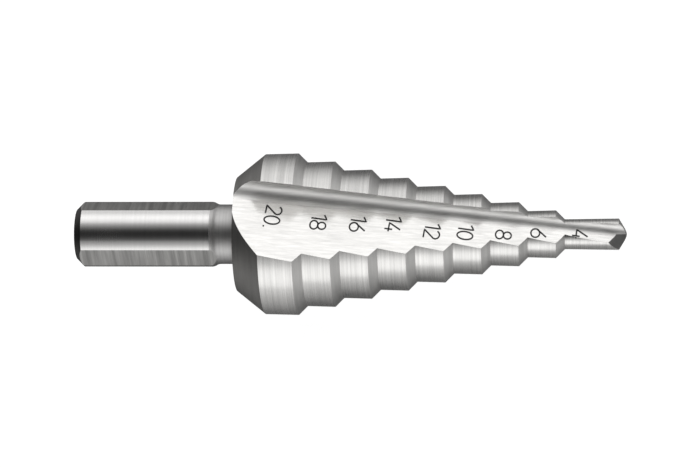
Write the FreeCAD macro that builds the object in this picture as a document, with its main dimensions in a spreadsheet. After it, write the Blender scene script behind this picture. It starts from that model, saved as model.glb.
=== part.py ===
"""Step drill bit, 4 to 20 mm in nine steps, ground from one bar of high speed steel.

The bar is turned to a head of nine lands joined by 45 degree shoulders, a thinner neck and
a round shank. Each half of the head is relieved behind its cutting edges. Two straight V
flutes are ground through the head, deeper towards the point, three flats are ground along
the shank, and the point is ground to 118 degrees and split. The drill is built along X,
with its point at +X and the rear face of the head at X = 0, and is then laid on the ground
as it comes to rest, with one flute down. All sizes are in millimetres and degrees.
"""
import FreeCAD, Part
import math
import os
import Sketcher

SIZES = {
    "pilot_diameter": 4.0,
    "diameter_rise": 2.0,
    "step_count": 9,
    "step_pitch": 4.5,
    "shoulder_angle": 45.0,
    "land_taper": 0.09,
    "pilot_length": 7.6,
    "point_angle": 118.0,
    "rear_land": 3.9,
    "rear_cone_length": 3.6,
    "rear_face_diameter": 14.1,
    "relief_offset": 0.1,
    "neck_relief": 0.33,
    "neck_length": 2.1,
    "neck_corner_radius": 0.4,
    "run_out_radius": 1.0,
    "shank_diameter": 8.0,
    "shank_length": 17.8,
    "shank_chamfer": 0.9,
    "flat_depth": 0.29,
    "flat_count": 3,
    "flute_count": 2,
    "flute_overrun": 2.0,
    "wall_angle": 97.0,
    "face_angle": 155.5,
    "rear_root_side": 6.22,
    "rear_root_height": 5.08,
    "rear_root_radius": 1.0,
    "point_root_side": 0.88,
    "point_root_height": -0.31,
    "point_root_radius": 0.6,
    "gash_roll": 8.8,
    "gash_angle": 51.0,
    "gash_depth": 0.6,
    "gash_overrun": 1.5,
}

START, END = 1, 2
ORIGIN = (-1, 1)
HALF_TURN = 180.0
FULL_TURN = 360.0
DOWN = 270.0
UP = 90.0

SHANK_RADIUS = "sizes.shank_diameter / 2"
NECK_RADIUS = "(sizes.shank_diameter / 2 - sizes.neck_relief)"
PILOT_RADIUS = "sizes.pilot_diameter / 2"
SHANK_END = "(sizes.neck_length + sizes.shank_length)"
LAST_FRONT = "(sizes.rear_cone_length + sizes.rear_land + sizes.step_pitch * (sizes.step_count - 2))"
PILOT_FRONT = f"({LAST_FRONT} + sizes.pilot_length)"
TIP = f"({PILOT_FRONT} + sizes.pilot_diameter / 2 / tan(sizes.point_angle / 2))"
LARGEST = "(sizes.pilot_diameter + sizes.diameter_rise * (sizes.step_count - 1))"
REAR_RIM = f"({LARGEST} / 2 - sizes.land_taper)"


def make_sheet(doc):
    """Spreadsheet with one named cell for each driving size."""
    sheet = doc.addObject("Spreadsheet::Sheet", "sizes")
    for row, (name, value) in enumerate(SIZES.items(), start=1):
        sheet.set(f"A{row}", name)
        sheet.set(f"B{row}", str(value))
        sheet.setAlias(f"B{row}", name)
    doc.recompute()


def origin_feature(body, role):
    """The body's own origin plane or axis with the given role."""
    return next(feature for feature in body.Origin.OriginFeatures if feature.Role == role)


def new_sketch(body, name, plane):
    """Empty sketch on one of the body's own origin planes."""
    sketch = body.newObject("Sketcher::SketchObject", name)
    sketch.AttachmentSupport = [(origin_feature(body, plane), "")]
    sketch.MapMode = "FlatFace"
    return sketch


def drawn_size(sketch, kind, places):
    """What a dimension measures on the sketch as it is first drawn."""
    if kind == "Radius":
        return sketch.Geometry[places[0]].Radius
    if kind == "Angle":
        run = sketch.getPoint(places[0], END) - sketch.getPoint(places[0], START)
        return math.atan2(run.y, run.x)
    run = sketch.getPoint(*places[2:]) - sketch.getPoint(*places[:2])
    return run.x if kind == "DistanceX" else run.y


def fix_size(sketch, kind, places, expression):
    """Dimension of a sketch, driven by an expression of named sizes."""
    size = drawn_size(sketch, kind, places)
    index = sketch.addConstraint(Sketcher.Constraint(kind, *places, size))
    sketch.setExpression(f"Constraints[{index}]", expression)


def fix_point(sketch, place, x, y):
    """Place of a sketch point from the origin, as two expressions."""
    fix_size(sketch, "DistanceX", ORIGIN + place, x)
    fix_size(sketch, "DistanceY", ORIGIN + place, y)


def join(sketch, pairs):
    """Ends of lines and arcs that meet, each pair as four indices."""
    for pair in pairs:
        sketch.addConstraint(Sketcher.Constraint("Coincident", *pair))


def outline(sketch, corners):
    """Closed run of straight lines through corners, each an x and a y expression."""
    count = len(corners)
    around = [FreeCAD.Vector(math.cos(i), math.sin(i), 0) for i in range(count)]
    for i in range(count):
        sketch.addGeometry(Part.LineSegment(around[i], around[(i + 1) % count]), False)
    join(sketch, [(i, END, (i + 1) % count, START) for i in range(count)])
    for i, (x, y) in enumerate(corners):
        fix_point(sketch, (i, START), x, y)


def repeat(body, name, feature, count):
    """Copies of a feature, evenly spaced round the drill's axis."""
    pattern = body.newObject("PartDesign::PolarPattern", name)
    pattern.Originals = [feature]
    pattern.Axis = (origin_feature(body, "X_Axis"), [""])
    pattern.Angle = FULL_TURN
    pattern.setExpression("Occurrences", count)
    body.Tip = pattern


def arc(centre, radius, start, end):
    """Arc of a circle in a sketch, anticlockwise between two angles in degrees."""
    circle = Part.Circle(FreeCAD.Vector(*centre, 0), FreeCAD.Vector(0, 0, 1), radius)
    return Part.ArcOfCircle(circle, math.radians(start), math.radians(end))


def line(start, end):
    """Straight line in a sketch."""
    return Part.LineSegment(FreeCAD.Vector(*start, 0), FreeCAD.Vector(*end, 0))


def turn_shank(body):
    """Shank and neck, turned together, with a run-out of two arcs between them."""
    sizes = SIZES
    shank = sizes["shank_diameter"] / 2
    neck = shank - sizes["neck_relief"]
    corner = sizes["neck_corner_radius"]
    run_out = sizes["run_out_radius"]
    chamfer = sizes["shank_chamfer"]
    neck_end = -sizes["neck_length"]
    shank_end = neck_end - sizes["shank_length"]
    turned = math.acos(1 - sizes["neck_relief"] / (2 * run_out))
    shank_start = neck_end - 2 * run_out * math.sin(turned)
    middle = ((neck_end + shank_start) / 2, (neck + shank) / 2)
    bend = math.degrees(turned)

    sketch = new_sketch(body, "shank_profile", "XZ_Plane")
    face, fillet, bar, hollow, crown, side, bevel, end, axis = range(9)
    sketch.addGeometry(line((0, 0), (0, neck + corner)), False)
    sketch.addGeometry(arc((-corner, neck + corner), corner, DOWN, FULL_TURN), False)
    sketch.addGeometry(line((-corner, neck), (neck_end, neck)), False)
    sketch.addGeometry(arc((neck_end, neck + run_out), run_out, DOWN - bend, DOWN), False)
    sketch.addGeometry(arc((shank_start, shank - run_out), run_out, UP - bend, UP), False)
    sketch.addGeometry(line((shank_start, shank), (shank_end + chamfer, shank)), False)
    sketch.addGeometry(line((shank_end + chamfer, shank), (shank_end, shank - chamfer)), False)
    sketch.addGeometry(line((shank_end, shank - chamfer), (shank_end, 0)), False)
    sketch.addGeometry(line((shank_end, 0), (0, 0)), False)
    join(sketch, [ORIGIN + (face, START), (side, END, bevel, START), (bevel, END, end, START),
                  (end, END, axis, START), (axis, END, face, START)])
    for pair in [(face, END, fillet, END), (fillet, START, bar, START), (bar, END, hollow, END),
                 (hollow, START, crown, START), (crown, END, side, START)]:
        sketch.addConstraint(Sketcher.Constraint("Tangent", *pair))
    for upright in (face, end):
        sketch.addConstraint(Sketcher.Constraint("Vertical", upright))
    for level in (bar, side, axis):
        sketch.addConstraint(Sketcher.Constraint("Horizontal", level))
    fix_size(sketch, "Radius", (fillet,), "sizes.neck_corner_radius")
    fix_size(sketch, "Radius", (hollow,), "sizes.run_out_radius")
    fix_size(sketch, "Radius", (crown,), "sizes.run_out_radius")
    fix_point(sketch, (bar, END), "-sizes.neck_length", NECK_RADIUS)
    fix_size(sketch, "DistanceY", ORIGIN + (side, END), SHANK_RADIUS)
    fix_point(sketch, (bevel, END), f"-{SHANK_END}", f"{SHANK_RADIUS} - sizes.shank_chamfer")
    fix_size(sketch, "DistanceX", (bevel, END, bevel, START), "sizes.shank_chamfer")

    turning = body.newObject("PartDesign::Revolution", "turned_shank")
    turning.Profile = sketch
    turning.ReferenceAxis = (sketch, ["H_Axis"])
    turning.Angle = FULL_TURN


def head_corners():
    """Half section of the head before its two end cones are turned, as expressions."""
    count = SIZES["step_count"]
    corners = [("0", "sizes.relief_offset"), ("0", REAR_RIM)]
    rear = "sizes.rear_cone_length"
    for step in range(count - 1):
        left = count - 1 - step
        radius = f"(sizes.pilot_diameter + sizes.diameter_rise * {left}) / 2"
        front = f"(sizes.rear_cone_length + sizes.rear_land + sizes.step_pitch * {step})"
        corners.append((rear, f"{radius} - sizes.land_taper"))
        corners.append((front, radius))
        drop = "(sizes.diameter_rise / 2 + sizes.land_taper)"
        rear = f"{front} + {drop} / tan(sizes.shoulder_angle)"
    corners.append((rear, f"{PILOT_RADIUS} - sizes.land_taper"))
    corners.append((PILOT_FRONT, PILOT_RADIUS))
    corners.append((TIP, PILOT_RADIUS))
    corners.append((TIP, "sizes.relief_offset"))
    return corners


def turn_head(body):
    """Stepped head in two halves, each turned about a line set off the drill's axis.

    The offset makes every land fall away behind the cutting edge that it starts from.
    """
    sketch = new_sketch(body, "head_profile", "XZ_Plane")
    outline(sketch, head_corners())
    height = SIZES["relief_offset"]
    centre = sketch.addGeometry(line((0, height), (SIZES["pilot_length"], height)), True)
    fix_point(sketch, (centre, START), "0", "sizes.relief_offset")
    fix_point(sketch, (centre, END), TIP, "sizes.relief_offset")
    half = body.newObject("PartDesign::Revolution", "half_head")
    half.Profile = sketch
    half.ReferenceAxis = (sketch, ["Axis0"])
    half.Angle = HALF_TURN
    half.Reversed = True
    repeat(body, "both_halves", half, "sizes.flute_count")


def turn_cones(body):
    """Cone behind the last land and cone of the point, both true to the drill's axis."""
    rear = [("0", "sizes.rear_face_diameter / 2"), ("sizes.rear_cone_length", REAR_RIM),
            ("sizes.rear_cone_length", LARGEST), ("0", LARGEST)]
    point = [(PILOT_FRONT, PILOT_RADIUS), (TIP, "0"), (TIP, LARGEST), (PILOT_FRONT, LARGEST)]
    for name, corners in [("rear_cone", rear), ("point_cone", point)]:
        sketch = new_sketch(body, f"{name}_profile", "XZ_Plane")
        outline(sketch, corners)
        cone = body.newObject("PartDesign::Groove", name)
        cone.Profile = sketch
        cone.ReferenceAxis = (sketch, ["H_Axis"])
        cone.Angle = FULL_TURN


def flute_section(body, name, end, place):
    """V with a rounded root across the drill: an upright cutting wall and a wide face."""
    sizes = SIZES
    reach = sizes["pilot_diameter"] + sizes["diameter_rise"] * (sizes["step_count"] - 1)
    root = (sizes[f"{end}_root_side"], sizes[f"{end}_root_height"])
    radius = sizes[f"{end}_root_radius"]
    wall = sizes["wall_angle"]
    face = sizes["face_angle"]
    half = math.radians(face - wall) / 2
    bisector = math.radians(face + wall) / 2
    centre = [root[0] + radius / math.sin(half) * math.cos(bisector),
              root[1] + radius / math.sin(half) * math.sin(bisector)]

    def along(angle, length):
        turned = math.radians(angle)
        return (root[0] + length * math.cos(turned), root[1] + length * math.sin(turned))

    tangent = radius / math.tan(half)
    face_end = along(face, (root[0] + reach) / -math.cos(math.radians(face)))
    wall_end = along(wall, (reach - root[1]) / math.sin(math.radians(wall)))
    corner = (-reach, reach)

    sketch = new_sketch(body, name, "YZ_Plane")
    sketch.setExpression("AttachmentOffset.Base.z", place)
    floor, fillet, upright, top, side, point = range(6)
    sketch.addGeometry(line(face_end, along(face, tangent)), False)
    sketch.addGeometry(arc(centre, radius, face + UP, wall - UP + FULL_TURN), False)
    sketch.addGeometry(line(along(wall, tangent), wall_end), False)
    sketch.addGeometry(line(wall_end, corner), False)
    sketch.addGeometry(line(corner, face_end), False)
    sketch.addGeometry(Part.Point(FreeCAD.Vector(*root, 0)), True)
    join(sketch, [(upright, END, top, START), (top, END, side, START), (side, END, floor, START)])
    sketch.addConstraint(Sketcher.Constraint("Tangent", floor, END, fillet, START))
    sketch.addConstraint(Sketcher.Constraint("Tangent", fillet, END, upright, START))
    sketch.addConstraint(Sketcher.Constraint("Horizontal", top))
    sketch.addConstraint(Sketcher.Constraint("Vertical", side))
    for straight in (floor, upright):
        sketch.addConstraint(Sketcher.Constraint("PointOnObject", point, START, straight))
    fix_point(sketch, (point, START), f"sizes.{end}_root_side", f"sizes.{end}_root_height")
    fix_point(sketch, (top, END), f"-{LARGEST}", LARGEST)
    fix_size(sketch, "Radius", (fillet,), f"sizes.{end}_root_radius")
    fix_size(sketch, "Angle", (upright,), "sizes.wall_angle")
    fix_size(sketch, "Angle", (floor,), "sizes.face_angle - 180")
    return sketch


def grind_flutes(body):
    """Straight V flutes whose root runs in towards the axis at the point."""
    rear = flute_section(body, "flute_at_rear", "rear", "-sizes.flute_overrun")
    front = flute_section(body, "flute_at_point", "point", f"{TIP} + sizes.flute_overrun")
    flute = body.newObject("PartDesign::SubtractiveLoft", "flute")
    flute.Profile = rear
    flute.Sections = [front]
    flute.Ruled = True
    repeat(body, "both_flutes", flute, "sizes.flute_count")


def grind_flats(body):
    """Flats along the shank for the chuck's jaws, run out where the neck begins."""
    sketch = new_sketch(body, "flat_profile", "XZ_Plane")
    level = f"sizes.flat_depth - {SHANK_RADIUS}"
    clear = "-sizes.shank_diameter"
    beyond = f"-{SHANK_END} - sizes.shank_chamfer"
    outline(sketch, [(beyond, level), (beyond, clear), ("-sizes.neck_length", clear),
                     ("-sizes.neck_length", level)])
    flat = body.newObject("PartDesign::Pocket", "flat")
    flat.Profile = sketch
    flat.Midplane = True
    flat.setExpression("Length", "sizes.shank_diameter * 2")
    repeat(body, "three_flats", flat, "sizes.flat_count")


def split_point(body):
    """Notch ground behind each lip, which carries the lip in to the drill's axis."""
    sketch = new_sketch(body, "gash_profile", "XZ_Plane")
    sketch.AttachmentOffset = FreeCAD.Placement(
        FreeCAD.Vector(0, 0, 0), FreeCAD.Rotation(FreeCAD.Vector(1, 0, 0), SIZES["gash_roll"]))
    sketch.setExpression("AttachmentOffset.Rotation.Angle", "sizes.gash_roll")
    slope = "tan(sizes.gash_angle)"
    floor = f"({TIP} - sizes.gash_depth)"
    low = "-sizes.gash_overrun"
    high = "sizes.pilot_diameter"
    beyond = f"{TIP} + sizes.gash_overrun"
    outline(sketch, [(f"{floor} - {high} * {slope}", high), (f"{floor} - {low} * {slope}", low),
                     (beyond, low), (beyond, high)])
    gash = body.newObject("PartDesign::Pocket", "gash")
    gash.Profile = sketch
    gash.Reversed = True
    gash.setExpression("Length", "sizes.pilot_diameter")
    repeat(body, "both_gashes", gash, "sizes.flute_count")


def lay_down(body):
    """Turns the drill to its rest on level ground and puts the middle of its base at the origin.

    Seen from the side, it rests on the two corners of its outline that have its centre of
    mass between them, one on the largest step and one on the pilot.
    """
    shape = body.Shape.Solids[0].copy()
    shape.Placement = FreeCAD.Placement()
    mass = shape.CenterOfMass
    spots = sorted((v.Point.x, v.Point.z) for v in shape.Vertexes)
    hull = []
    for spot in spots:
        while len(hull) > 1:
            (ax, az), (bx, bz) = hull[-2], hull[-1]
            if (bx - ax) * (spot[1] - az) - (bz - az) * (spot[0] - ax) > 0:
                break
            hull.pop()
        hull.append(spot)
    rise, run = next((bz - az, bx - ax) for (ax, az), (bx, bz) in zip(hull, hull[1:])
                     if (mass.x - ax) * (bx - ax) + (mass.z - az) * (bz - az) > 0
                     and (mass.x - bx) * (bx - ax) + (mass.z - bz) * (bz - az) < 0)
    pitch = FreeCAD.Rotation(FreeCAD.Vector(0, 1, 0), math.degrees(math.atan2(rise, run)))
    shape.Placement = FreeCAD.Placement(FreeCAD.Vector(), pitch)
    box = shape.optimalBoundingBox()
    base = FreeCAD.Vector(-box.Center.x, -box.Center.y, -box.ZMin)
    body.Placement = FreeCAD.Placement(base, pitch)


def check(doc, body):
    """Stops the build if a feature failed or did nothing."""
    for thing in doc.Objects:
        if {"Invalid", "Error"} & set(thing.State):
            raise RuntimeError(f"{thing.Name} failed: {thing.State}")
    if body.Shape.isNull() or not body.Shape.isValid() or len(body.Shape.Solids) != 1:
        raise RuntimeError("the drill is not one sound solid")


def expect_change(doc, body, grind, sign):
    """Runs one step of the build and checks that it adds or removes metal."""
    before = body.Shape.Volume if body.Tip else 0.0
    grind(body)
    doc.recompute()
    if (body.Shape.Volume - before) * sign <= 0:
        raise RuntimeError(f"{grind.__name__} did not change the drill as it should")


def build():
    """Makes the drill step by step, lays it down, checks it and writes its STEP file."""
    doc = FreeCAD.newDocument("step_drill_bit")
    make_sheet(doc)
    body = doc.addObject("PartDesign::Body", "step_drill")
    body.Label = "step_drill"
    adds, cuts = 1, -1
    for grind, sign in [(turn_shank, adds), (turn_head, adds), (turn_cones, cuts),
                        (grind_flutes, cuts), (grind_flats, cuts), (split_point, cuts)]:
        expect_change(doc, body, grind, sign)
    lay_down(body)
    doc.recompute()
    check(doc, body)
    os.makedirs("parts", exist_ok=True)
    body.Shape.exportStep(f"parts/{body.Label}.step")


build()
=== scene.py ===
"""Step drill bit lying on a pale studio floor: its ground steel finishes, laser marks and light."""
import math

import bmesh
import bpy
from mathutils import Matrix, Vector
from mathutils.bvhtree import BVHTree


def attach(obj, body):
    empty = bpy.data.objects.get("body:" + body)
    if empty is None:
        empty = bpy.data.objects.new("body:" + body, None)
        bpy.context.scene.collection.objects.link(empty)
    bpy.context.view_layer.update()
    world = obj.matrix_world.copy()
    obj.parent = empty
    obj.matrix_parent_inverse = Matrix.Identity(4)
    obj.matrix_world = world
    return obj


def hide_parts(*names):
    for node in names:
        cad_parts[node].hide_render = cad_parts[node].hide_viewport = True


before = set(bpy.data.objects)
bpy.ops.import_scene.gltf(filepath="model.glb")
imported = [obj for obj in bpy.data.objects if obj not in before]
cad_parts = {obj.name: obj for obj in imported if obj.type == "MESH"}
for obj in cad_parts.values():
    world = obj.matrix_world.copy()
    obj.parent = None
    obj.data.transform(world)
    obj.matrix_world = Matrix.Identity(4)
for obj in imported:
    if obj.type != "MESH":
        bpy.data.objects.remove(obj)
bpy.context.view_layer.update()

# Blank: one bar of high speed steel, turned to a shank, a thinner neck and a head of nine lands
# joined by 45 degree shoulders. It is made along X in millimetres, with its point at +X and the
# back of its head at 0, and lies dipped towards the point, with one flute up.
MM = 0.001
DIP, ROLL = math.radians(10.3194107), math.radians(8.8)
BASE = Vector((-13.379997, 0, 10.036230))
laid = Matrix.Translation(BASE * MM) @ Matrix.Rotation(DIP, 4, "Y") @ Matrix.Scale(MM, 4)
dipped = Matrix.Rotation(DIP, 3, "Y")
along = Vector((1, 0, 0))
across = Vector((0, math.cos(ROLL), math.sin(ROLL)))
outward = Vector((0, -math.sin(ROLL), math.cos(ROLL)))

# The regions of the surface, each finished in its own way, then radii and lengths. The relief
# is how far the two halves of the head are turned off the drill's axis, so that each land falls
# away behind its cutting edge.
REGIONS = range(12)
END_FACE, SIDE, RUN_OUT, REAR, LAND, SHOULDER, POINT, FACE, ROOT, WALL, FLAT, GASH = REGIONS
SHANK_RADIUS, SHANK_END, SHANK_CHAMFER = 4.0, -19.9, 0.9
NECK_RADIUS, NECK_BACK, NECK_CORNER, RUN_OUT_RADIUS = 3.67, -2.1, 0.4, 1.0
BACK_RADIUS, BACK_CONE, BACK_LAND = 7.05, 3.6, 3.9
LARGEST, SMALLEST, RISE, STEP_LENGTH, LAND_TAPER = 10.0, 2.0, 1.0, 4.5, 0.09
PILOT_LENGTH, POINT_SLOPE = 7.6, 1 / math.tan(math.radians(59))
RELIEF = 0.1
HALF_RING = 128


def ring(x, radius, shift=0.0, cone=None):
    """Points of one turned ring in two halves, each half about a centre shifted off the axis.

    A half's own radius is smaller by the shift, so that it reaches the full radius where it
    starts. On a cone (x, radius, slope) turned about the axis itself, each point slides along
    X to where the cone has the point's own distance from the axis.
    """
    points = []
    for side in (1, -1):
        for i in range(HALF_RING + 1):
            turn = math.pi * i / HALF_RING
            spot = Vector((x, side * (radius - shift) * math.sin(turn),
                           side * (shift + (radius - shift) * math.cos(turn))))
            if cone:
                spot.x = cone[0] + (cone[1] - math.hypot(spot.y, spot.z)) * cone[2]
            points.append(spot)
    return points


def bend(x, r, radius, start, end, steps=8):
    """Points x, r round a turned fillet about x, r, between two angles in degrees."""
    turns = [math.radians(start + (end - start) * i / steps) for i in range(steps + 1)]
    return [(x + radius * math.cos(t), r + radius * math.sin(t)) for t in turns]


# Each ring comes with the region of the surface that leads up to it.
run_turn = math.acos(1 - (SHANK_RADIUS - NECK_RADIUS) / (2 * RUN_OUT_RADIUS))
run_start = NECK_BACK - 2 * RUN_OUT_RADIUS * math.sin(run_turn)
swing = math.degrees(run_turn)
neck = bend(run_start, SHANK_RADIUS - RUN_OUT_RADIUS, RUN_OUT_RADIUS, 90, 90 - swing)
neck += bend(NECK_BACK, NECK_RADIUS + RUN_OUT_RADIUS, RUN_OUT_RADIUS, 270 - swing, 270)
neck += bend(-NECK_CORNER, NECK_RADIUS + NECK_CORNER, NECK_CORNER, 270, 360)
rim = LARGEST - LAND_TAPER
rings = [(ring(SHANK_END, SHANK_RADIUS - SHANK_CHAMFER), END_FACE),
         (ring(SHANK_END + SHANK_CHAMFER, SHANK_RADIUS), END_FACE)]
rings += [(ring(x, r), RUN_OUT if i else SIDE) for i, (x, r) in enumerate(neck)]
rings += [(ring(0, BACK_RADIUS), REAR),
          (ring(BACK_CONE, rim, RELIEF, (BACK_CONE, rim, -BACK_CONE / (rim - BACK_RADIUS))), REAR)]
fall = RISE + LAND_TAPER
x, radius = BACK_CONE + BACK_LAND, LARGEST
while radius > SMALLEST:
    rings += [(ring(x, radius, RELIEF), LAND), (ring(x + fall, radius - fall, RELIEF), SHOULDER)]
    x, radius = x + STEP_LENGTH, radius - RISE
front = x - STEP_LENGTH + PILOT_LENGTH
tip = front + SMALLEST * POINT_SLOPE
rings += [(ring(front, SMALLEST, RELIEF, (front, SMALLEST, POINT_SLOPE)), LAND), (ring(tip, 0), POINT)]

form = bmesh.new()
loops = [[form.verts.new(p) for p in points] for points, _ in rings]
for near, far, (_, region) in zip(loops, loops[1:], rings[1:]):
    for i in range(len(near)):
        form.faces.new((near[i - 1], near[i], far[i], far[i - 1])).material_index = region
form.faces.new(loops[0]).material_index = END_FACE
bmesh.ops.remove_doubles(form, verts=form.verts, dist=1e-5)
bmesh.ops.dissolve_degenerate(form, dist=1e-6, edges=form.edges)
bmesh.ops.recalc_face_normals(form, faces=form.faces)
blank = bpy.data.meshes.new("turned_blank")
form.to_mesh(blank)
form.free()
for region in REGIONS:
    blank.materials.append(None)
drill = bpy.data.objects.new("ground_drill", blank)
bpy.context.collection.objects.link(drill)

# Flutes, flats and gashes: ground out of the hardened blank with shaped wheels. A flute's wall,
# root and face run straight from behind the head to past the point, three flats stop the shank
# from turning in the chuck, and two gashes split the point down to its axis.
wheels = bpy.data.collections.new("grinding_wheels")
bpy.context.scene.collection.children.link(wheels)

# A flute's ends are given by how far to the side of the axis and above it wall and face would
# meet, and by the root's radius, which is larger than the solid's 1.0 and 0.6, as on the real
# drill.
WALL_TURN, FACE_TURN = math.radians(97), math.radians(155.5)
FLUTE_BACK, FLUTE_POINT = (6.22, 5.08, 1.6), (0.88, -0.31, 0.98)
ROOT_STEPS = 28
REACH, OVERRUN = 20, 2.0
FLAT_HEIGHT, FLAT_REACH = 3.71, 8.0
GASH_DEPTH, GASH_LEAN, GASH_REACH = 0.6, math.tan(math.radians(51)), 4.0


def flute_section(x, side, height, radius):
    """Section of the open V at x, whose wall and face would meet at side, height but for its root."""
    half, middle = (FACE_TURN - WALL_TURN) / 2, (FACE_TURN + WALL_TURN) / 2
    away = radius / math.sin(half)
    centre_y, centre_z = side + away * math.cos(middle), height + away * math.sin(middle)
    corners = [(-REACH, height - (REACH + side) * math.tan(FACE_TURN))]
    for i in range(ROOT_STEPS + 1):
        turn = FACE_TURN + math.pi / 2 + (math.pi - 2 * half) * i / ROOT_STEPS
        corners.append((centre_y + radius * math.cos(turn), centre_z + radius * math.sin(turn)))
    corners += [(side + (REACH - height) / math.tan(WALL_TURN), REACH), (-REACH, REACH)]
    return [Vector((x, y, z)) for y, z in corners]


def wheel(name, near, far, regions, turn):
    """Closed prism between two like outlines, a region for each side, turned about the drill."""
    shape = bmesh.new()
    start = [shape.verts.new(p) for p in near]
    end = [shape.verts.new(p) for p in far]
    for i, region in enumerate(regions):
        j = (i + 1) % len(start)
        shape.faces.new((start[i], start[j], end[j], end[i])).material_index = region
    shape.faces.new(start)
    shape.faces.new(end)
    bmesh.ops.recalc_face_normals(shape, faces=shape.faces)
    shape.transform(turn)
    mesh = bpy.data.meshes.new(name)
    shape.to_mesh(mesh)
    shape.free()
    for region in REGIONS:
        mesh.materials.append(None)
    made = bpy.data.objects.new(name, mesh)
    wheels.objects.link(made)
    return made


halves = [Matrix.Identity(4), Matrix.Diagonal((1, -1, -1, 1))]
thirds = [Matrix.Rotation(math.tau / 3 * i, 4, "X") for i in range(3)]
flute = [flute_section(-OVERRUN, *FLUTE_BACK), flute_section(tip + OVERRUN, *FLUTE_POINT)]
flat = [Vector((x, -FLAT_REACH, z)) for x, z in (
    (SHANK_END - OVERRUN, -FLAT_HEIGHT), (SHANK_END - OVERRUN, -FLAT_REACH),
    (NECK_BACK, -FLAT_REACH), (NECK_BACK, -FLAT_HEIGHT))]
gash_rise = GASH_REACH * GASH_LEAN
gash = [along * (tip - GASH_DEPTH + x) + outward * w for x, w in (
    (-gash_rise, GASH_REACH), (gash_rise, -GASH_REACH), (2 * gash_rise, -GASH_REACH),
    (2 * gash_rise, GASH_REACH))]

# One cut with all wheels at once keeps the mesh closed where they overlap at the point.
cuts = [wheel("flute", flute[0], flute[1], [FACE] + [ROOT] * ROOT_STEPS + [WALL] * 3, turn)
        for turn in halves]
cuts += [wheel("flat", flat, [p + Vector((0, 2 * FLAT_REACH, 0)) for p in flat], [FLAT] * 4, turn)
         for turn in thirds]
cuts += [wheel("gash", gash, [p - across * GASH_REACH for p in gash], [GASH] * 4, turn)
         for turn in halves]
grinding = drill.modifiers.new("grinding", "BOOLEAN")
grinding.operand_type = "COLLECTION"
grinding.collection = wheels
grinding.operation = "DIFFERENCE"
grinding.solver = "EXACT"
grinding.material_mode = "INDEX"
ground = bpy.data.meshes.new_from_object(drill.evaluated_get(bpy.context.evaluated_depsgraph_get()))
drill.modifiers.clear()
drill.data = ground
for cut in cuts:
    bpy.data.objects.remove(cut)
bpy.data.collections.remove(wheels)

# Surface: bare high speed steel, each region as its own grinding or turning left it. The marks
# are drawn at 5 to 15 to the millimetre, several times as coarse as real ones, so that they
# show, and light spreads across them, which draws the highlights out into streaks.
SHARP = math.radians(25)
ROUNDED_EDGE = 0.03
COARSER, SMUDGES = 0.23, 0.35
axes = bpy.data.objects.new("drill_axes", None)
bpy.context.collection.objects.link(axes)
axes.matrix_world = laid
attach(axes, "root")


def linear(code):
    """Linear colour of an sRGB hex code."""
    parts = [int(code[i:i + 2], 16) / 255 for i in (1, 3, 5)]
    return [p / 12.92 if p <= 0.04045 else ((p + 0.055) / 1.055) ** 2.4 for p in parts] + [1]


def node(tree, kind, links={}, sockets={}, **settings):
    """Adds a shader node with its settings, constant sockets and incoming links."""
    made = tree.nodes.new(kind)
    for name, value in settings.items():
        setattr(made, name, value)
    for name, value in sockets.items():
        made.inputs[name].default_value = value
    for name, source in links.items():
        tree.links.new(source, made.inputs[name])
    return made


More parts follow.
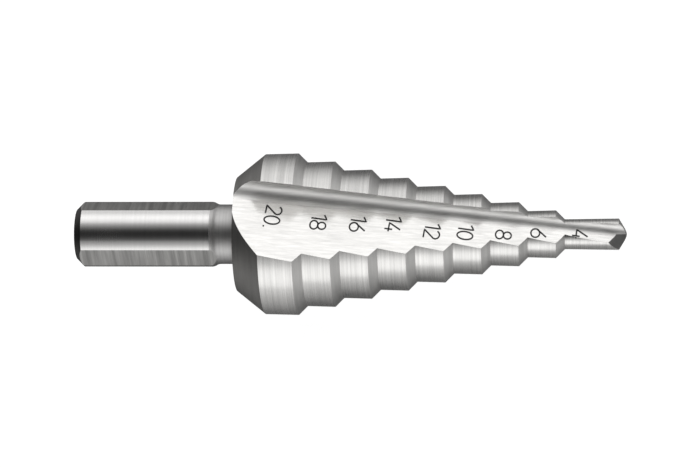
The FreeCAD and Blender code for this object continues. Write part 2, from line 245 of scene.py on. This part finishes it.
def ground_steel(name, code, roughness, grain, slant=0.0, depth=1.5, spread=0.12, streak=0.5,
                 blur=along, stretch=0.6):
    """Bare high speed steel with the fine parallel marks that grinding or turning leaves.

    grain is marks per millimetre along X, Y and Z, slant turns them about Z in degrees,
    depth is theirs in micrometres, spread and streak are how far they vary the roughness and
    the colour, blur is the direction in which what the steel reflects is drawn out, and stretch
    is how far it is.
    """
    material = bpy.data.materials.new(name)
    material.use_nodes = True
    tree = material.node_tree
    steel = tree.nodes["Principled BSDF"]
    place = node(tree, "ShaderNodeTexCoord", object=axes).outputs["Object"]

    # Fine marks with broader ones among them shade the steel and vary how sharply it reflects.
    turned = node(tree, "ShaderNodeMapping", {"Vector": place},
                  {"Rotation": (0, 0, math.radians(slant)), "Scale": grain}).outputs["Vector"]
    fine = node(tree, "ShaderNodeTexNoise", {"Vector": turned},
                {"Scale": 1, "Detail": 5, "Roughness": 0.65}).outputs["Fac"]
    coarser = node(tree, "ShaderNodeMapping", {"Vector": turned}, {"Scale": (COARSER,) * 3})
    broad = node(tree, "ShaderNodeTexNoise", {"Vector": coarser.outputs["Vector"]},
                 {"Scale": 1, "Detail": 3, "Roughness": 0.6}).outputs["Fac"]
    lift = node(tree, "ShaderNodeMath", {0: broad}, {1: 0.5}, operation="MULTIPLY").outputs[0]
    marks = node(tree, "ShaderNodeMath", {0: fine, 1: broad, 2: lift}, operation="MULTIPLY_ADD")
    shade = node(tree, "ShaderNodeMapRange", {"Value": marks.outputs[0]},
                 {"From Min": 0.25, "From Max": 0.8, "To Min": 1 - streak * spread * 4, "To Max": 1.0})
    tint = node(tree, "ShaderNodeVectorMath", {0: shade.outputs[0]}, {1: linear(code)[:3]},
                operation="MULTIPLY")
    tree.links.new(tint.outputs["Vector"], steel.inputs["Base Color"])
    rough = node(tree, "ShaderNodeMapRange", {"Value": fine},
                 {"From Min": 0.3, "From Max": 0.7, "To Min": roughness - spread / 2,
                  "To Max": roughness + spread / 2})

    # Handling leaves faint dull patches, and deburring rounds the edges a little.
    handled = node(tree, "ShaderNodeTexNoise", {"Vector": place},
                   {"Scale": SMUDGES, "Detail": 4, "Roughness": 0.6}).outputs["Fac"]
    worn = node(tree, "ShaderNodeMapRange", {"Value": handled},
                {"From Min": 0.4, "From Max": 0.7, "To Min": 0.0, "To Max": 0.05})
    total = node(tree, "ShaderNodeMath", {0: rough.outputs[0], 1: worn.outputs[0]}, operation="ADD")
    tree.links.new(total.outputs[0], steel.inputs["Roughness"])
    edge = node(tree, "ShaderNodeBevel", sockets={"Radius": ROUNDED_EDGE * MM}, samples=4)
    bump = node(tree, "ShaderNodeBump", {"Height": fine, "Normal": edge.outputs["Normal"]},
                {"Strength": 1.0, "Distance": depth * 1e-6})
    tree.links.new(bump.outputs["Normal"], steel.inputs["Normal"])

    # Reflections are drawn out in one direction, which is the same all over a region.
    pulled = node(tree, "ShaderNodeVectorTransform", sockets={"Vector": dipped @ blur},
                  vector_type="VECTOR", convert_from="OBJECT", convert_to="WORLD")
    tree.links.new(pulled.outputs["Vector"], steel.inputs["Tangent"])
    steel.inputs["Anisotropic"].default_value = stretch
    steel.inputs["Metallic"].default_value = 1.0
    return material


LENGTHWISE = (0.12, 12, 12)
land = ground_steel("cylindrically_ground_land_steel", "#d0cfcd", 0.27, (15, 0.14, 0.14), streak=0.7)
steels = {
    # A dark skin from hardening stays on the shank's end, which hardly shines.
    END_FACE: ground_steel("turned_steel_dark_skin_end", "#444342", 0.42, (9, 0.5, 0.5)),
    # The shank is ground round and the smoothest, with sharp lengthwise bands of light.
    SIDE: ground_steel("cylindrically_ground_shank_steel", "#c0bfbe", 0.21, (14, 0.12, 0.12),
                       spread=0.06),
    # The neck is only turned, so its bands are softer.
    RUN_OUT: ground_steel("turned_neck_steel", "#bebdbc", 0.5, (12, 0.3, 0.3)),
    # The back of the head is turned, dull and faintly ringed; its dark base colour is painted
    # shade, which keeps the bright floor it reflects dark.
    REAR: ground_steel("turned_steel_painted_shade_head", "#82817f", 0.62, (7, 0.6, 0.6)),
    # Rings round the lands and the point stripe their highlights.
    LAND: land,
    POINT: land,
    # The wheel's corner leaves the shoulders paler and duller than the lands.
    SHOULDER: ground_steel("ground_shoulder_steel", "#d2d1cf", 0.42, (9, 0.4, 0.4)),
    # The flute is ground along its length: a bright face, a pale satin root, a smooth wall.
    FACE: ground_steel("flute_ground_steel", "#cecdcb", 0.2, (0.1, 14, 14), slant=-7, blur=across,
                       stretch=0.5),
    ROOT: ground_steel("flute_root_steel", "#eeedeb", 0.42, LENGTHWISE, slant=-7, blur=across,
                       stretch=0.5),
    # The wall's base colour is paler than the face's: painted light, which lightens the wall where the
    # face reflects it.
    WALL: ground_steel("flute_wall_steel", "#dddcda", 0.2, LENGTHWISE, slant=-7),
    # A surface grinder crosses the flats at a slant, and its strokes show plainly.
    FLAT: ground_steel("surface_ground_flat_steel", "#b7b6b4", 0.36, (7, 0.3, 0.3), slant=14,
                       spread=0.2, streak=0.7),
    # The gashes are cut with a thin wheel, coarse and grey.
    GASH: ground_steel("point_gash_steel", "#a1a09f", 0.33, (5, 5, 0.6)),
}
for region, steel in steels.items():
    ground.materials[region] = steel

# Round surfaces are shaded smooth, with sharp edges between regions and at corners.
form = bmesh.new()
form.from_mesh(ground)
for face in form.faces:
    face.smooth = True
for edge in form.edges:
    sides = edge.link_faces
    edge.smooth = (len(sides) == 2 and sides[0].material_index == sides[1].material_index
                   and sides[0].normal.angle(sides[1].normal, 0) < SHARP)
form.to_mesh(ground)
form.free()
surface = BVHTree.FromPolygons([v.co for v in ground.vertices], [f.vertices for f in ground.polygons])
ground.transform(laid)
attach(drill, "root")
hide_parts("step_drill")

# Size numbers: a laser has drawn each one in a single dark line of oxide on the flute's face,
# tops towards the point. The line is 0.2 mm wide and lies a few micrometres proud.
HEIGHT, HALF_LINE, GAP, LEAN, LIFT = 1.9, 0.098, 0.13, math.radians(-8), 0.004
BEAM_START, POINTS_PER_UNIT = 15, 12


def curve(x, y, width, height, start, end, steps=20):
    """Points of an arc about x, y between two angles in degrees."""
    turns = [math.radians(start + (end - start) * i / steps) for i in range(steps + 1)]
    return [(x + width * math.cos(t), y + height * math.sin(t)) for t in turns]


# Each figure's width and its strokes, one unit high.
FIGURES = {
    "0": (0.5, [curve(0.25, 0.5, 0.25, 0.5, 90, 450, 32)]),
    "1": (0.3, [[(0, 0.8), (0.28, 1), (0.28, 0)]]),
    "2": (0.52, [curve(0.26, 0.74, 0.25, 0.26, 160, -25) + [(0, 0), (0.52, 0)]]),
    "4": (0.56, [[(0.36, 1), (0, 0.26), (0.56, 0.26)], [(0.4, 0.5), (0.4, 0)]]),
    "6": (0.54, [[(0.44, 1), (0.04, 0.4)], curve(0.27, 0.28, 0.27, 0.28, 90, 450, 28)]),
    "8": (0.54, [curve(0.27, 0.75, 0.22, 0.25, 90, 450, 24),
                 curve(0.27, 0.25, 0.27, 0.25, 90, 450, 28)]),
    ".": (0.1, [[(0, 0.04), (0.1, 0.04)]]),
}
# Each number with its middle along the drill and across it.
labels = [("20.", 4.9, 2.1), ("18", 10.42, 1.48), ("16", 15.16, 1.24), ("14", 19.38, 1.21),
          ("12", 24.1, 0.39), ("10", 28.1, 0.25), ("8", 32.68, -0.1), ("6", 36.93, 0.08),
          ("4", 41.92, -0.04)]


def burnt(x, u):
    """Where the beam at x along and u across the drill meets the steel."""
    start = along * x + across * u + outward * BEAM_START
    spot, normal = surface.ray_cast(start, -outward)[:2]
    return spot + normal * LIFT


# Each stroke is a ribbon of faces between its two edges, laid on the steel point by point.
marks = bmesh.new()
for text, x, u in labels:
    pen = -(sum(FIGURES[c][0] for c in text) + GAP * (len(text) - 1)) / 2
    for figure in text:
        advance, strokes = FIGURES[figure]
        for stroke in strokes:
            line = []
            for a, b in zip(stroke, stroke[1:]):
                steps = max(1, round(math.dist(a, b) * POINTS_PER_UNIT))
                line += [Vector(a).lerp(Vector(b), i / steps) for i in range(steps)]
            line = [(p + Vector((pen, -0.5))) * HEIGHT for p in line + [Vector(stroke[-1])]]
            rows = []
            for i, p in enumerate(line):
                ahead = line[min(i + 1, len(line) - 1)] - line[max(i - 1, 0)]
                aside = Vector((-ahead.y, ahead.x)).normalized() * HALF_LINE
                pair = [Matrix.Rotation(LEAN, 2) @ q for q in (p - aside, p + aside)]
                rows.append([marks.verts.new(burnt(x + q.y, u - q.x)) for q in pair])
            for (a, b), (c, d) in zip(rows, rows[1:]):
                marks.faces.new((a, b, d, c))
        pen += advance + GAP
bmesh.ops.recalc_face_normals(marks, faces=marks.faces)
number_mesh = bpy.data.meshes.new("size_numbers")
marks.to_mesh(number_mesh)
marks.free()


def ramp(tree, source, stops):
    """Smooth ramp through grey stops, each a place and a brightness."""
    made = node(tree, "ShaderNodeValToRGB", {"Fac": source})
    made.color_ramp.interpolation = "B_SPLINE"
    for place, grey in stops[1:-1]:
        made.color_ramp.elements.new(place)
    for element, (place, grey) in zip(made.color_ramp.elements, stops):
        element.position = place
        element.color = (grey, grey, grey, 1)
    return made.outputs["Color"]


oxide = bpy.data.materials.new("laser_annealed_oxide")
oxide.use_nodes = True
tree = oxide.node_tree
skin = tree.nodes["Principled BSDF"]
place = node(tree, "ShaderNodeTexCoord", object=axes).outputs["Object"]
speckle = node(tree, "ShaderNodeTexNoise", {"Vector": place}, {"Scale": 9, "Detail": 3}).outputs["Fac"]
tree.links.new(ramp(tree, speckle, [(0.3, 0.015), (0.7, 0.05)]), skin.inputs["Base Color"])
skin.inputs["Roughness"].default_value = 0.6
number_mesh.materials.append(oxide)
numbers = bpy.data.objects.new("size_numbers", number_mesh)
bpy.context.collection.objects.link(numbers)
number_mesh.transform(laid)
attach(numbers, "root")

# Floor: a sheet of matt white paper under the drill, white to the camera. The steel shows it
# too, less so close beside the drill, where a painted shadow dims the glow it reflects.
FLOOR_HALF, PAPER_GREY, GLOW = 3, 0.34, 0.91
SHADE_MIDDLE, SIDE_SHARE, CLEARING = 0.0045, 10.0, 5.0
corners = [(x * FLOOR_HALF, y * FLOOR_HALF, 0) for x, y in ((-1, -1), (1, -1), (1, 1), (-1, 1))]
floor_mesh = bpy.data.meshes.new("floor")
floor_mesh.from_pydata(corners, [], [(0, 1, 2, 3)])
floor = bpy.data.objects.new("floor", floor_mesh)
bpy.context.collection.objects.link(floor)
paper = bpy.data.materials.new("matt_white_paper")
paper.use_nodes = True
tree = paper.node_tree
tree.nodes.remove(tree.nodes["Principled BSDF"])
rays = node(tree, "ShaderNodeLightPath")

# The paper's glow in the steel's reflections carries a painted shadow: dim beside the drill,
# bright away from it, to its sides and ahead.
spot = node(tree, "ShaderNodeSeparateXYZ", {0: node(tree, "ShaderNodeNewGeometry").outputs["Position"]})
beside = node(tree, "ShaderNodeMath", {0: spot.outputs["Y"]}, {1: SHADE_MIDDLE}, operation="SUBTRACT")
reach = node(tree, "ShaderNodeMath", {0: beside.outputs[0]}, operation="ABSOLUTE")
sidelong = node(tree, "ShaderNodeMath", {0: reach.outputs[0]}, {1: SIDE_SHARE}, operation="MULTIPLY")
forward = node(tree, "ShaderNodeMath", {0: spot.outputs["X"]}, {1: 0.0}, operation="MAXIMUM")
clear = node(tree, "ShaderNodeMath", {0: forward.outputs[0], 2: sidelong.outputs[0]}, {1: CLEARING},
             operation="MULTIPLY_ADD")
painted_shade_ramp = ramp(tree, clear.outputs[0], [
    (0.1, 0.0), (0.19, 0.12), (0.25, 0.32), (0.34, 0.5), (0.6, 0.75), (1.0, 1.0)])

glossy = node(tree, "ShaderNodeMath", {0: rays.outputs["Is Glossy Ray"], 1: painted_shade_ramp},
              operation="MULTIPLY")
seen = node(tree, "ShaderNodeMath", {0: glossy.outputs[0], 1: rays.outputs["Is Camera Ray"]},
            operation="MAXIMUM")
shown = node(tree, "ShaderNodeMath", {0: seen.outputs[0], 1: rays.outputs["Is Transmission Ray"]},
             operation="MAXIMUM")
glow = node(tree, "ShaderNodeMath", {0: shown.outputs[0]}, {1: GLOW}, operation="MULTIPLY")
matt = node(tree, "ShaderNodeBsdfDiffuse", sockets={"Color": (PAPER_GREY,) * 3 + (1,)})
light = node(tree, "ShaderNodeEmission", {"Strength": glow.outputs[0]})
both = node(tree, "ShaderNodeAddShader", {0: matt.outputs[0], 1: light.outputs[0]})
tree.links.new(both.outputs[0], tree.nodes["Material Output"].inputs["Surface"])
floor_mesh.materials.append(paper)

# Studio light: a long tent of white cloth on both sides of the drill, dark overhead and dimmer
# towards its two ends, gives round steel its bright bands and dark middle. Two softboxes add a
# little light on the floor.
CLOTH_STRENGTH = 1.9
BOX_SIZE = 0.4
sideways, lengthways = dipped @ across, dipped @ along
world = bpy.data.worlds.new("studio")
bpy.context.scene.world = world
world.use_nodes = True
tree = world.node_tree
direction = node(tree, "ShaderNodeTexCoord").outputs["Generated"]
side = node(tree, "ShaderNodeVectorMath", {0: direction}, {1: sideways}, operation="DOT_PRODUCT")
end = node(tree, "ShaderNodeVectorMath", {0: direction}, {1: lengthways}, operation="DOT_PRODUCT")
side_place = node(tree, "ShaderNodeMath", {0: side.outputs["Value"]}, {1: 0.5, 2: 0.5},
                  operation="MULTIPLY_ADD")
end_place = node(tree, "ShaderNodeMath", {0: end.outputs["Value"]}, operation="ABSOLUTE")

# The cloth from one horizon, over the drill, to the other.
tent = ramp(tree, side_place.outputs[0], [
    (0.0, 0.7), (0.025, 1.0), (0.075, 0.98), (0.117, 0.72), (0.162, 0.46), (0.213, 0.28),
    (0.267, 0.15), (0.325, 0.1), (0.384, 0.05), (0.445, 0.022), (0.567, 0.02), (0.628, 0.045),
    (0.687, 0.13), (0.743, 0.26), (0.797, 0.42), (0.847, 0.62), (0.892, 0.82), (0.931, 1.0),
    (0.963, 0.8), (1.0, 0.62)])
fade = ramp(tree, end_place.outputs[0], [(0.0, 1.0), (0.45, 1.0), (0.8, 0.62), (1.0, 0.4)])
product = node(tree, "ShaderNodeVectorMath", {0: tent, 1: fade}, operation="MULTIPLY")
background = tree.nodes["Background"]
background.inputs["Strength"].default_value = CLOTH_STRENGTH
tree.links.new(product.outputs["Vector"], background.inputs["Color"])

for name, place, power in (("key_softbox", (0.05, 0.45, 0.42), 0.15),
                           ("fill_softbox", (-0.05, -0.5, 0.45), 0.12)):
    lamp = bpy.data.lights.new(name, "AREA")
    lamp.size = BOX_SIZE
    lamp.energy = power
    box = bpy.data.objects.new(name, lamp)
    box.location = place
    box.rotation_euler = (-Vector(place)).to_track_quat("-Z", "Y").to_euler()
    bpy.context.collection.objects.link(box)

# Camera: a long lens that looks straight down on the dipped drill, a little from its point.
TURN, DISTANCE = math.radians(4.65), 0.3679
AIM_X, AIM_U = 13.79, 0.025
LENS, SENSOR = 154.29, 36
right = dipped @ (along * math.cos(TURN) - outward * math.sin(TURN))
back = dipped @ (along * math.sin(TURN) + outward * math.cos(TURN))
lens = bpy.data.cameras.new("camera")
lens.sensor_width = SENSOR
lens.lens = LENS
lens.clip_start = 0.01
lens.clip_end = 20
camera = bpy.data.objects.new("camera", lens)
bpy.context.collection.objects.link(camera)
camera.matrix_world = (Matrix.Translation(laid @ (along * AIM_X + across * AIM_U) + back * DISTANCE)
                       @ Matrix((right, sideways, back)).transposed().to_4x4())
scene = bpy.context.scene
scene.camera = camera
scene.view_settings.view_transform = "Standard"
